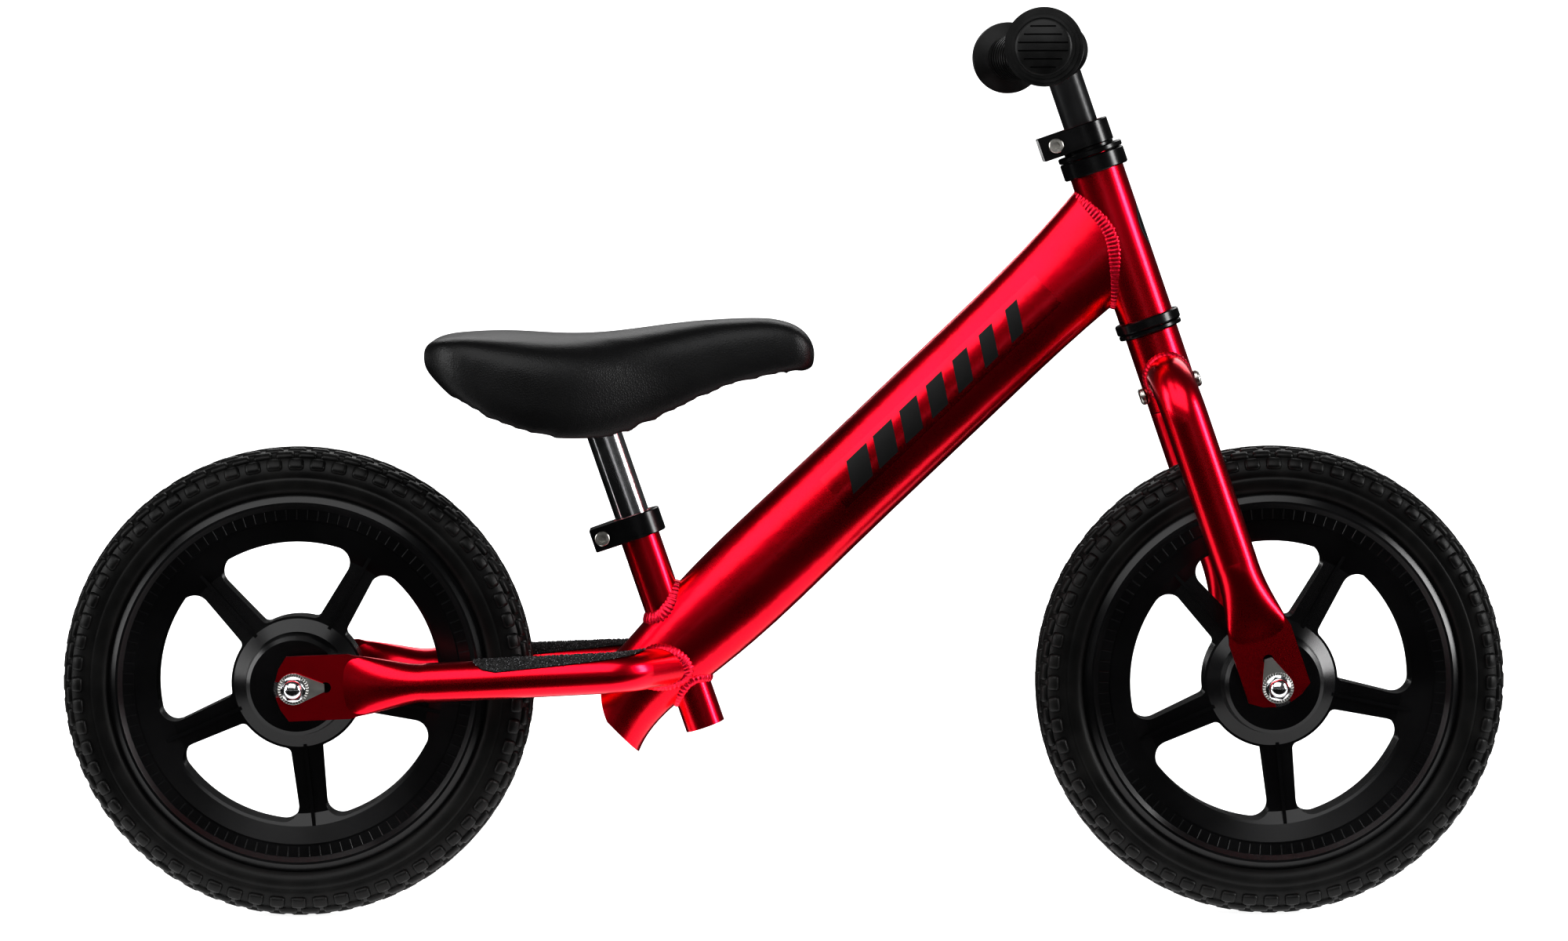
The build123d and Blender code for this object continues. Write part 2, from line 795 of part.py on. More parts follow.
with BuildPart() as saddle_bracket:
    with BuildSketch(Plane(origin=bracket_middle)):
        RectangleRounded(48, 36, 6)
    extrude(amount=20)
    with BuildSketch(seat.offset(post_foot)):
        Circle(bar_radius)
    extrude(amount=post_top - post_foot, mode=Mode.SUBTRACT)
    add(above_pan, mode=Mode.SUBTRACT)
    add(saddle_screws.part, mode=Mode.SUBTRACT)
save(saddle_bracket, "saddle_bracket")

with BuildPart() as saddle_base:
    add(recess)
    add(above_pan, mode=Mode.INTERSECT)
    add(saddle_screws.part, mode=Mode.SUBTRACT)
save(saddle_base, "saddle_base")

with BuildPart() as saddle_pad:
    add(saddle_form(0, 0, None, 0, 10))
    add(recess, mode=Mode.SUBTRACT)
save(saddle_pad, "saddle_pad")
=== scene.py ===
"""The looks of a twelve-inch balance bike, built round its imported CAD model.

Metres, in the CAD model's frame: +X forward, +Y to the rider's left, +Z up, and the origin on the
ground midway between the axles. Each section makes one piece, or one group of like pieces.
"""

import json
from math import cos, pi, radians, sin
from random import Random

import bpy
from mathutils import Matrix, Vector
from mathutils.bvhtree import BVHTree


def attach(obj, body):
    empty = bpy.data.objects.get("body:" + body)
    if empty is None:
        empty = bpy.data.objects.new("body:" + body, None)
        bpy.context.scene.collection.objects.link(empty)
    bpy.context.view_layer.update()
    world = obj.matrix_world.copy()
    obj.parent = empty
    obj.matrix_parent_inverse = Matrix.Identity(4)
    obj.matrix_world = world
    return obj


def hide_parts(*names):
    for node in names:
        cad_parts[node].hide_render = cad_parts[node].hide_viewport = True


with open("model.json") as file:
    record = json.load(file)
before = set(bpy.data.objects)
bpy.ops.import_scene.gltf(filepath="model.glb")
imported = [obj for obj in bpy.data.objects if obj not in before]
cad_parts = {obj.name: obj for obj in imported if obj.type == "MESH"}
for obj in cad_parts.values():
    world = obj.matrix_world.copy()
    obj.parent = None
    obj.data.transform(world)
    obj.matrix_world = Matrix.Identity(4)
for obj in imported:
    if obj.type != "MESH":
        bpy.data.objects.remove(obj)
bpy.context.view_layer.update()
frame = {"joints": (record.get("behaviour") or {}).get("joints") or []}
bpy.ops.object.select_all(action="DESELECT")

# ---------------------------------------------------------------- studio
# A pale floor and background under soft lamps: a broad one above the near side, one above the far
# side, a bright one ahead of the bike and a smaller one behind it. The room itself is dim.
scene = bpy.context.scene
scene.view_settings.view_transform = "Standard"
scene.view_settings.look = "High Contrast"

room_glow = 0.05
world = bpy.data.worlds.new("pale_room")
world.use_nodes = True
background = world.node_tree.nodes["Background"]
background.inputs["Color"].default_value = (1, 1, 1, 1)
seen = world.node_tree.nodes.new("ShaderNodeLightPath").outputs["Is Camera Ray"]
brightness = world.node_tree.nodes.new("ShaderNodeMapRange")
brightness.inputs["To Min"].default_value = room_glow
brightness.inputs["To Max"].default_value = 1.05
world.node_tree.links.new(seen, brightness.inputs["Value"])
world.node_tree.links.new(brightness.outputs["Result"], background.inputs["Strength"])
scene.world = world


def aimed(holder, place, aim):
    """Stands a lamp or the camera at a place and turns it to face a point."""
    holder.location = place
    holder.rotation_euler = (Vector(aim) - Vector(place)).to_track_quat("-Z", "Y").to_euler()
    scene.collection.objects.link(holder)


def soft_lamp(name, place, aim, width, height, watts):
    """A flat rectangular lamp."""
    lamp = bpy.data.lights.new(name, "AREA")
    lamp.shape = "RECTANGLE"
    lamp.size, lamp.size_y, lamp.energy = width, height, watts
    aimed(bpy.data.objects.new(name, lamp), place, aim)


bike_middle = (0, 0, 0.3)
soft_lamp("lamp_above", (-0.5, -1.7, 1.95), bike_middle, 3.2, 2.1, 40)
soft_lamp("lamp_far", (0.3, 2.2, 1.9), bike_middle, 3.0, 1.4, 22)
soft_lamp("lamp_ahead", (2.3, -0.75, 0.95), bike_middle, 0.6, 1.5, 30)
soft_lamp("lamp_behind", (-2.5, -0.5, 0.9), bike_middle, 1.0, 1.6, 20)

camera_data = bpy.data.cameras.new("camera")
camera_data.lens = 117.2
camera = bpy.data.objects.new("camera", camera_data)
aimed(camera, (-0.0505, -3.25, 0.4893), (-0.0007, 0, 0.2842))
scene.camera = camera


class Signal:
    """A value that changes over a surface. The usual operators on it add Math nodes."""

    def __init__(self, tree, socket):
        self.tree, self.socket = tree, socket

    def node(self, kind, settings=None, inputs=None, out=0):
        """Any other node: its settings, then its sockets' values or links, by name or number."""
        made = self.tree.nodes.new("ShaderNode" + kind)
        for name, value in (settings or {}).items():
            setattr(made, name, value)
        for name, value in (inputs or {}).items():
            if isinstance(value, Signal):
                self.tree.links.new(value.socket, made.inputs[name])
            else:
                made.inputs[name].default_value = value
        return Signal(self.tree, made.outputs[out])

    def math(self, operation, *values):
        return self.node("Math", {"operation": operation}, dict(enumerate(values)))

    def __add__(self, other):
        return self.math("ADD", self, other)

    def __sub__(self, other):
        return self.math("SUBTRACT", self, other)

    def __rsub__(self, other):
        return self.math("SUBTRACT", other, self)

    def __mul__(self, other):
        return self.math("MULTIPLY", self, other)

    def __truediv__(self, other):
        return self.math("DIVIDE", self, other)

    def __lt__(self, other):
        return self.math("LESS_THAN", self, other)

    def __gt__(self, other):
        return self.math("GREATER_THAN", self, other)

    __radd__ = __add__
    __rmul__ = __mul__

    def along(self, direction):
        """How far a place lies along a direction."""
        return self.node("VectorMath", {"operation": "DOT_PRODUCT"}, {0: self, 1: direction}, out=1)

    def noise(self, scale, detail=2.0):
        return self.node("TexNoise", {}, {"Vector": self, "Scale": scale, "Detail": detail})

    def cells(self, scale):
        return self.node("TexVoronoi", {}, {"Vector": self, "Scale": scale})

    def ease(self, low, high):
        """From 0 below low to 1 above high, smoothly."""
        limits = {"Value": self, "From Min": low, "From Max": high}
        return self.node("MapRange", {"interpolation_type": "SMOOTHSTEP"}, limits)

    def colours(self, first, second):
        """The first colour where the value is 0, the second where it is 1."""
        return self.node("Mix", {"data_type": "RGBA"}, {0: self, 6: first, 7: second}, out=2)


def new_finish(name, colour, roughness, metallic=0.0, **others):
    """A material with its constants set, its shader, and the place on the bike as a Signal."""
    material = bpy.data.materials.new(name)
    material.use_nodes = True
    tree = material.node_tree
    shader = tree.nodes["Principled BSDF"]
    constants = {"Base Color": (*colour, 1), "Roughness": roughness, "Metallic": metallic}
    constants.update({key.replace("_", " "): value for key, value in others.items()})
    for socket, value in constants.items():
        shader.inputs[socket].default_value = value
    place = Signal(tree, tree.nodes.new("ShaderNodeTexCoord").outputs["Object"])
    return material, shader, place


def grey(level, blue=None):
    """A neutral colour, or one a little cooler."""
    return (level, level, level if blue is None else blue, 1)


def feed(shader, socket, signal):
    signal.tree.links.new(signal.socket, shader.inputs[socket])


def raise_surface(shader, height, depth):
    """A relief of that depth in metres, where the height goes from 0 to 1."""
    limits = {"Strength": 1.0, "Distance": depth, "Height": height}
    feed(shader, "Normal", height.node("Bump", {}, limits))


def paint(material, *names):
    """Gives CAD nodes or finished pieces a material."""
    for name in names:
        piece = bpy.data.objects[name]
        if not piece.material_slots:
            piece.data.materials.append(material)
        for slot in piece.material_slots:
            slot.material = material


# The far floor glows a little more than the near floor, so that it meets the background unseen.
floor_finish, shader, place = new_finish(
    "pale_floor", (0.8, 0.8, 0.8), 0.95, Specular_IOR_Level=0.0, Emission_Strength=1.0
)
from_middle = place.node("VectorMath", {"operation": "LENGTH"}, {0: place}, out=1)
glow = from_middle.ease(0.9, 3.2)
feed(shader, "Emission Color", glow.colours(grey(0.64), grey(1.03)))
feed(shader, "Base Color", place.noise(3).colours(grey(0.78), grey(0.82)))
bpy.ops.mesh.primitive_plane_add(size=60, location=(0, 0, -0.0004))
floor = bpy.context.object
floor.name = "floor"
floor.data.materials.append(floor_finish)

# Two black cloths lie on the floor in front and behind, met only by reflections.
cloth_finish, shader, place = new_finish(
    "black_cloth", (0.004, 0.004, 0.004), 1.0, Specular_IOR_Level=0.0
)
feed(shader, "Roughness", 0.95 + 0.05 * place.noise(40))
for side in (1, -1):
    bpy.ops.mesh.primitive_plane_add(size=1, location=(0, side * 3.95, 0.001))
    black_cloth = bpy.context.object
    black_cloth.name = "black_cloth"
    black_cloth.scale = (12, 7.6, 1)
    black_cloth.data.materials.append(cloth_finish)
    black_cloth.visible_camera = False
    black_cloth.visible_diffuse = False
    black_cloth.visible_shadow = False

# ---------------------------------------------------------------- red tubes
# The frame and fork are welded aluminium tube, brushed fine, dyed red and sealed by anodising, so
# they shine like metal under a clear skin. A printed film lies on each side of the main tube.
steering = next(joint for joint in frame["joints"] if joint["name"] == "steering")
front_axle = Vector(steering["pos_m"])
rear_axle = Vector((-front_axle.x, 0, front_axle.z))
steer_up = Vector(steering["axis"]).normalized()
steer_ahead = Vector((steer_up.z, 0, -steer_up.x))
main_rise = radians(43.6)
main_ahead = Vector((cos(main_rise), 0, sin(main_rise)))
main_up = Vector((-sin(main_rise), 0, cos(main_rise)))
head_joint = Vector((0.2111, 0, 0.4373))
red = (0.84, 0.0012, 0.034)
red_roughness = 0.26
coat_weight = 0.35


def anodised(name, colour, plain_roughness):
    """Dyed, sealed aluminium with the faint streaks and clouds that the dye bath leaves."""
    material, shader, place = new_finish(
        name, colour, plain_roughness, 1.0, Coat_Weight=coat_weight, Coat_Roughness=0.16, Coat_IOR=1.5
    )
    clouds = place.noise(16, 3)
    grain = place.noise(2400, 2)
    deep = (colour[0] * 0.86, colour[1], colour[2] * 0.7, 1)
    dye = clouds.ease(0.3, 0.7).colours(deep, (*colour, 1))
    rough = plain_roughness - 0.04 + 0.06 * clouds + 0.06 * grain
    raise_surface(shader, grain, 0.00001)
    return material, shader, place, dye, rough


red_finish, shader, place, dye, rough = anodised("red_anodised", red, red_roughness)
feed(shader, "Base Color", dye)
feed(shader, "Roughness", rough)
paint(red_finish, "seat_tube", "stay_left", "stay_right", "fork_crown")
paint(red_finish, "fork_leg_left", "fork_leg_right", "steerer_tube")

film_start, film_end = -0.246, -0.058
film_low, film_high = -0.0085, 0.0165
bar_low, bar_high = -0.005, 0.0132
bar_count = 7
bar_slant, bar_inset, bar_thickness, bar_thinning = 0.62, 0.012, 0.8, 0.055
main_finish, shader, place, dye, rough = anodised("red_anodised_with_bars", red, red_roughness)
ahead = place.along(main_ahead) - head_joint.dot(main_ahead)
up = place.along(main_up) - head_joint.dot(main_up)
inside_film = (ahead > film_start) * (ahead < film_end) * (up > film_low) * (up < film_high)
inside_bars = (up > bar_low) * (up < bar_high)
bar_pitch = (film_end - film_start - 0.026) / bar_count
slanted = (ahead - bar_slant * up - film_start - bar_inset) / bar_pitch
in_row = (slanted > 0) * (slanted < bar_count)
thick = bar_thickness - slanted * bar_thinning
ink = inside_bars * in_row * (slanted.math("FRACT", slanted) < thick)
feed(shader, "Base Color", ink.colours(dye, (0.002, 0.002, 0.002, 1)))
feed(shader, "Metallic", 1 - ink)
feed(shader, "Roughness", rough - 0.05 * inside_film + 0.3 * ink)
feed(shader, "Coat Weight", (coat_weight + 0.1 * inside_film) * (1 - ink))
paint(main_finish, "main_tube")

badge_height = 0.302
badge_half_width, badge_half_height = 0.0105, 0.016
head_finish, shader, place, dye, rough = anodised("red_anodised_with_badge", red, red_roughness)
up = place.along(steer_up) - front_axle.dot(steer_up) - badge_height
ahead = place.along(steer_ahead) - front_axle.dot(steer_ahead)
across = place.along(Vector((0, 1, 0)))
oval_across, oval_up = across / badge_half_width, up / badge_half_height
oval = oval_across * oval_across + oval_up * oval_up
badge = (oval < 1.0) * (ahead > 0.005)
ring = (oval > 0.72) * (oval < 0.84) * badge
badge_ink = ring.colours(grey(0.006, 0.007), grey(0.55, 0.57))
feed(shader, "Base Color", badge.colours(dye, badge_ink))
feed(shader, "Metallic", 1 - badge * (1 - ring))
feed(shader, "Roughness", rough)
paint(head_finish, "head_tube")

# ---------------------------------------------------------------- weld beads
# Each tube is joined by a hand-laid bead, a row of overlapping ripples round its foot. The beads
# were laid before anodising, and take the red dye duller and paler than the tubes.
weld_finish, shader, place = new_finish(
    "welded_red", (0.86, 0.012, 0.06), 0.42, 1.0, Coat_Weight=0.25, Coat_Roughness=0.3
)
scale_marks = place.noise(900, 3)
dull_red, pale_red = (0.72, 0.004, 0.03, 1), (0.9, 0.03, 0.1, 1)
feed(shader, "Base Color", scale_marks.ease(0.3, 0.7).colours(dull_red, pale_red))
feed(shader, "Roughness", 0.34 + 0.2 * scale_marks)
raise_surface(shader, scale_marks, 0.00004)
ripple_pitch = 0.0026


def join_all(pieces, name):
    """Makes one piece of several."""
    bpy.ops.object.select_all(action="DESELECT")
    for piece in pieces:
        piece.select_set(True)
    bpy.context.view_layer.objects.active = pieces[0]
    bpy.ops.object.join()
    joined = bpy.context.object
    joined.name = joined.data.name = name
    return joined


def settle(piece):
    """Moves a piece's place, turn and size into its mesh."""
    bpy.ops.object.select_all(action="DESELECT")
    piece.select_set(True)
    bpy.context.view_layer.objects.active = piece
    bpy.ops.object.transform_apply(location=True, rotation=True, scale=True)
    return piece


def copies(pattern, name, placements):
    """One shape copied to each placement, as one piece. The pattern itself is used up."""
    made = []
    for placement in placements:
        one = pattern.copy()
        one.data = pattern.data.copy()
        one.matrix_world = placement
        scene.collection.objects.link(one)
        made.append(one)
    bpy.data.objects.remove(pattern)
    bpy.context.view_layer.update()
    joined = join_all(made, name)
    return settle(joined)


def apply_modifier(piece, kind, **settings):
    """Adds a modifier and applies it at once."""
    bpy.ops.object.select_all(action="DESELECT")
    piece.select_set(True)
    bpy.context.view_layer.objects.active = piece
    modifier = piece.modifiers.new(kind.title(), kind)
    for setting, value in settings.items():
        setattr(modifier, setting, value)
    bpy.ops.object.modifier_apply(modifier=modifier.name)
    return piece


def surface_of(name):
    """A CAD node's surface, to cast lines at."""
    return BVHTree.FromObject(bpy.data.objects[name], bpy.context.evaluated_depsgraph_get())


def weld_path(onto, middle, along, first_half, second_half, out_first, count=140):
    """Where lines laid round a tube, running along it, first meet another surface."""
    surface = surface_of(onto)
    side = along.cross(out_first).normalized()
    found = []
    for step in range(count):
        angle = 2 * pi * step / count
        around = first_half * cos(angle) * out_first + second_half * sin(angle) * side
        hit, normal, _, _ = surface.ray_cast(middle + around, along)
        if hit:
            found.append((hit, (normal + around.normalized()).normalized()))
    return found


def weld(name, body, path, half_width=0.0047, half_height=0.0023):
    """A rippled bead along a closed path of (place, outward direction)."""
    lengths = [0.0]
    closed = path + path[:1]
    for (here, _), (there, _) in zip(closed, closed[1:]):
        lengths.append(lengths[-1] + (there - here).length)
    ripples = round(lengths[-1] / ripple_pitch)
    placements = []
    index = 0
    for ripple in range(ripples):
        distance = lengths[-1] * ripple / ripples
        while lengths[index + 1] < distance:
            index += 1
        share = (distance - lengths[index]) / (lengths[index + 1] - lengths[index])
        here = closed[index][0].lerp(closed[index + 1][0], share)
        out = closed[index][1].lerp(closed[index + 1][1], share).normalized()
        forward = (closed[index + 1][0] - closed[index][0]).normalized()
        forward = (forward - forward.dot(out) * out).normalized()
        lean = (out + 0.45 * forward).normalized()
        forward = (forward - forward.dot(lean) * lean).normalized()
        turn = Matrix((forward, lean.cross(forward), lean)).transposed().to_4x4()
        swell = 1 + 0.06 * sin(ripple * 2.4)
        size = Matrix.Diagonal((0.0022, half_width * swell, half_height, 1))
        placements.append(Matrix.Translation(here) @ turn @ size)
    bpy.ops.mesh.primitive_uv_sphere_add(segments=12, ring_count=8, radius=1)
    bead = copies(bpy.context.object, name, placements)
    apply_modifier(bead, "REMESH", mode="VOXEL", voxel_size=0.00045)
    bpy.ops.object.shade_smooth()
    bead.data.materials.append(weld_finish)
    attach(bead, body)


main_half_height, main_half_width = 0.0335, 0.0165
seat_foot = Vector((-0.051, 0, 0.1209))
seat_half = 0.0127
stay_half = 0.0125
stay_rise = radians(2.5)
stay_ahead = Vector((cos(stay_rise), 0, sin(stay_rise)))
leg_half, leg_height = 0.014, 0.2055

main_start = head_joint - 0.09 * main_ahead
path = weld_path("head_tube", main_start, main_ahead, main_half_height, main_half_width, main_up)
weld("weld_head_tube", "frame", path)
seat_start = seat_foot + 0.12 * steer_up
path = weld_path("main_tube", seat_start, -steer_up, seat_half, seat_half, steer_ahead)
weld("weld_seat_tube", "frame", path, 0.0054, 0.0026)
stub_start = seat_foot - 0.01 * steer_up
path = weld_path("main_tube", stub_start, steer_up, seat_half, seat_half, steer_ahead)
weld("weld_stub", "frame", path, 0.0034)

# the post slides inside the seat tube, so neither bead may reach through the tube's wall
bore_wall = 0.0119
for name in ("weld_seat_tube", "weld_stub"):
    for vertex in bpy.data.objects[name].data.vertices:
        along_tube = (vertex.co - seat_foot).dot(steer_up) * steer_up
        from_middle = vertex.co - seat_foot - along_tube
        if from_middle.length < bore_wall:
            vertex.co = seat_foot + along_tube + from_middle.normalized() * bore_wall

for side_name, side in (("left", 1), ("right", -1)):
    across = Vector((0, side, 0))
    inward = (0.035 * stay_ahead - 0.039 * across).normalized()
    stay_point = rear_axle + 0.2165 * stay_ahead + 0.0345 * across
    up_from_stay = stay_ahead.cross(Vector((0, -1, 0))).normalized()
    path = weld_path("main_tube", stay_point, inward, stay_half, stay_half, up_from_stay)
    weld(f"weld_stay_{side_name}", "frame", path)
    leg_point = front_axle + leg_height * steer_up + 0.04 * across
    path = weld_path("fork_crown", leg_point, -across, leg_half, leg_half, steer_up)
    weld(f"weld_fork_leg_{side_name}", "fork", path, 0.0036, 0.0018)

# ---------------------------------------------------------------- foot pads
# A child's feet rest on strips of grip tape wrapped over the stays: black film with sharp mineral
# grit, some of it glinting, pressed on before the bike is packed.
tape_finish, shader, place = new_finish("grip_tape", (0.02, 0.02, 0.02), 0.85)
grit = place.cells(1300)
specks = place.noise(700, 2).ease(0.35, 0.75)
feed(shader, "Base Color", specks.colours(grey(0.006), grey(0.05)))
feed(shader, "Roughness", 0.6 + 0.4 * grit)
raise_surface(shader, 1 - grit, 0.0003)
paint(tape_finish, "foot_pad_left", "foot_pad_right")

grain_finish, shader, place = new_finish("grit_grains", (0.05, 0.05, 0.05), 0.35)
glint = place.noise(1100, 1).ease(0.52, 0.6)
feed(shader, "Base Color", glint.colours(grey(0.008), grey(0.2, 0.21)))
feed(shader, "Roughness", 0.6 - 0.3 * glint)
grain_count = 1500


def scattered_grit(pad_name, seed):
    """Grains set at random over the outer face of a foot pad."""
    draw = Random(seed)
    mesh = bpy.data.objects[pad_name].data
    mesh.calc_loop_triangles()
    spots = []
    for triangle in mesh.loop_triangles:
        corners = [mesh.vertices[v].co for v in triangle.vertices]
        if triangle.normal.z > 0.05 and triangle.area > 0:
            spots.append((triangle.area, corners, triangle.normal.copy()))
    weights = [area for area, _, _ in spots]
    placements = []
    for _, corners, normal in draw.choices(spots, weights, k=grain_count):
        first, second = sorted((draw.random(), draw.random()))
        here = first * corners[0] + (second - first) * corners[1] + (1 - second) * corners[2]
        size = draw.uniform(0.00022, 0.00048)
        angle = draw.uniform(0, pi)
        axis = Vector((draw.random(), draw.random(), 0.3)).normalized()
        stretch = Matrix.Diagonal((size, size * 1.3, size, 1))
        stand = Matrix.Translation(here + normal * 0.0001) @ Matrix.Rotation(angle, 4, axis)
        placements.append(stand @ stretch)
    bpy.ops.mesh.primitive_ico_sphere_add(subdivisions=1, radius=1)
    grains = copies(bpy.context.object, pad_name + "_grit", placements)
    grains.data.materials.append(grain_finish)
    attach(grains, "frame")


scattered_grit("foot_pad_left", 3)
scattered_grit("foot_pad_right", 4)

# ---------------------------------------------------------------- clamps and headset
# The two split clamps and the headset's cups, race and cover are turned aluminium, anodised black
# and polished, with faint smudges and fine turning marks.
black_finish, shader, place = new_finish(
    "black_anodised", (0.004, 0.004, 0.0043), 0.2, 0.0, Specular_IOR_Level=0.5
)
turning_marks = place.along(steer_up).math("SINE", place.along(steer_up) * 9000.0)
smudges = place.noise(60, 3)
feed(shader, "Base Color", smudges.ease(0.4, 0.8).colours(grey(0.003, 0.0033), grey(0.007, 0.0075)))
feed(shader, "Roughness", 0.16 + 0.14 * smudges)
raise_surface(shader, turning_marks * 0.5 + 0.5, 0.0000012)
paint(black_finish, "seat_clamp", "bar_clamp", "headset_lower_cup", "headset_upper_cup")
paint(black_finish, "crown_race", "headset_top_cover")

# ---------------------------------------------------------------- screws, axles and washers
# Socket screws and tab washers are zinc plated, with the plating's faint clouding. The washers have
# a knurled face. Axles, collars and bearings are bare turned steel, and the acorn nuts are chromed.
zinc_finish, shader, place = new_finish("zinc_plate", (0.62, 0.6, 0.56), 0.3, 1.0)
clouds = place.noise(240, 3)
feed(shader, "Base Color", clouds.ease(0.35, 0.7).colours((0.5, 0.49, 0.46, 1), (0.72, 0.7, 0.66, 1)))
feed(shader, "Roughness", 0.22 + 0.2 * clouds)
raise_surface(shader, place.noise(1800, 2), 0.00002)
paint(zinc_finish, "seat_clamp_screw", "bar_clamp_screw", "crown_screws", "saddle_screws")

knurl_finish, shader, place = new_finish("knurled_zinc", (0.62, 0.61, 0.58), 0.3, 1.0)
lengthwise = place.along(Vector((1, 0, 0)))
axle_across = lengthwise.math("ABSOLUTE", lengthwise) - front_axle.x
axle_up = place.along(Vector((0, 0, 1))) - front_axle.z
round_axle = axle_across.math("ARCTAN2", axle_up, axle_across)
from_axle = axle_across.math("SQRT", axle_across * axle_across + axle_up * axle_up)
knurls = (round_axle * 34.0).math("SINE", round_axle * 34.0) * 0.5 + 0.5
in_ring = from_axle.ease(0.0066, 0.0072) * (1 - from_axle.ease(0.0094, 0.0099))
clouds = place.noise(300, 3)
# painted shade: the knurl's grooves are coloured darker than its ridges, standing in for the shade
# that falls in them
feed(shader, "Base Color", (knurls * in_ring).colours((0.72, 0.71, 0.68, 1), (0.3, 0.3, 0.29, 1)))
feed(shader, "Roughness", 0.24 + 0.18 * clouds)
raise_surface(shader, 1 - knurls * in_ring, 0.00025)
paint(knurl_finish, "rear_tab_washers", "front_tab_washers")

steel_finish, shader, place = new_finish("turned_steel", (0.5, 0.5, 0.51), 0.3, 1.0)
across = place.along(Vector((0, 1, 0)))
rings = (across * 12000.0).math("SINE", across * 12000.0) * 0.5 + 0.5
stains = place.noise(150, 3).ease(0.3, 0.8)
feed(shader, "Base Color", stains.colours(grey(0.42, 0.43), grey(0.6, 0.61)))
feed(shader, "Roughness", 0.24 + 0.14 * rings)
raise_surface(shader, rings, 0.000006)
paint(steel_finish, "rear_axle", "front_axle", "rear_axle_collars", "front_axle_collars")
paint(steel_finish, "rear_hub_bearings", "front_hub_bearings")
paint(steel_finish, "headset_lower_bearing", "headset_upper_bearing")

chrome_finish, shader, place = new_finish("chrome", (0.82, 0.82, 0.84), 0.06, 1.0)
haze = place.noise(70, 4)
feed(shader, "Base Color", haze.ease(0.3, 0.7).colours(grey(0.76, 0.78), grey(0.88, 0.9)))
feed(shader, "Roughness", 0.1 + 0.1 * haze)
raise_surface(shader, place.noise(500, 2), 0.000004)
paint(chrome_finish, "rear_axle_nuts", "front_axle_nuts", "seat_post")

# ---------------------------------------------------------------- wheels
# Each wheel is one glossy black moulding with five hollow spokes. A ring of fine radial ribs, which
# stiffens the rim, stands on both faces just inside the tyre's seat.
plastic_finish, shader, place = new_finish(
    "wheel_plastic", (0.0035, 0.0035, 0.0038), 0.2, 0.0, Specular_IOR_Level=0.5
)
flow = place.noise(22, 4)
pits = place.noise(1500, 2)
feed(shader, "Base Color", flow.ease(0.35, 0.75).colours(grey(0.003, 0.0033), grey(0.006, 0.0065)))
feed(shader, "Roughness", 0.15 + 0.12 * flow + 0.05 * pits)
raise_surface(shader, flow * 0.7 + pits * 0.3, 0.00003)
paint(plastic_finish, "rear_rim", "front_rim")
rib_count = 100
rib_across, rib_out, rib_lean = 0.0176, 0.1077, radians(6.5)
across_bike = Vector((0, 1, 0))


def about_axle(axle, angle):
    """A turn about a wheel's axle."""
    return Matrix.Translation(axle) @ Matrix.Rotation(angle, 4, across_bike)


def bevelled_block(size, bevel, segments, name):
    """A block with rounded edges, centred on the origin."""
    bpy.ops.mesh.primitive_cube_add(size=1)
    block = bpy.context.object
    block.name = name
    block.scale = size
    settle(block)
    return apply_modifier(block, "BEVEL", width=bevel, segments=segments, limit_method="NONE")


for wheel, axle in (("rear", rear_axle), ("front", front_axle)):
    placements = []
    for face in (1, -1):
        for rib in range(rib_count):
            stand = Matrix.Translation((0, face * rib_across, rib_out))
            stand = stand @ Matrix.Rotation(-face * rib_lean, 4, "X")
            placements.append(about_axle(axle, 2 * pi * rib / rib_count) @ stand)
    block = bevelled_block((0.0008, 0.0009, 0.0068), 0.00025, 1, "rim_rib")
    ribs = copies(block, f"{wheel}_rim_ribs", placements)
    ribs.data.materials.append(plastic_finish)
    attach(ribs, f"{wheel}_wheel")

# ---------------------------------------------------------------- tyres
# The tyres are solid foam, moulded in one piece with a tread of small rounded pillows that run over
# the shoulders. They never need air, and sit stretched over the rim's seat.
foam_finish, shader, place = new_finish(
    "foam_tyre", (0.006, 0.006, 0.006), 0.4, 0.0, Specular_IOR_Level=0.3
)
dust = place.noise(45, 4)
pores = place.cells(2200)
dusty_black = (0.01, 0.0097, 0.0092, 1)
feed(shader, "Base Color", dust.ease(0.35, 0.8).colours(grey(0.004), dusty_black))
feed(shader, "Roughness", 0.3 + 0.16 * dust + 0.08 * pores)
raise_surface(shader, pores * 0.6 + place.noise(800, 2) * 0.4, 0.00006)
knob_pitches = 64
knob_depth, knob_sink = 0.0048, 0.0011
# half of the section, as (across, out from the axle), from the rim's seat to the middle of the tread
sidewall = (
    (0.0150, 0.1175),
    (0.0176, 0.1205),
    (0.0203, 0.1222),
    (0.0217, 0.1252),
    (0.0222, 0.1290),
    (0.0220, 0.1306),
    (0.0214, 0.1312),
    (0.0219, 0.1320),
    (0.0217, 0.1355),
    (0.0205, 0.1395),
    (0.0183, 0.1430),
    (0.0150, 0.1456),
    (0.0105, 0.1474),
    (0.0055, 0.1482),
    (0.0000, 0.1484),
)
# rows of pillows: across, out from the axle, lean from straight out, length, width, shift in pitches
knob_rows = (
    (0.0201, 0.1408, 58, 0.0099, 0.0078, 0.0),
    (0.0148, 0.1460, 31, 0.0118, 0.0066, 0.5),
    (0.0077, 0.1481, 11, 0.0121, 0.0064, 0.0),
    (0.0000, 0.1486, 0, 0.0121, 0.0062, 0.5),
)


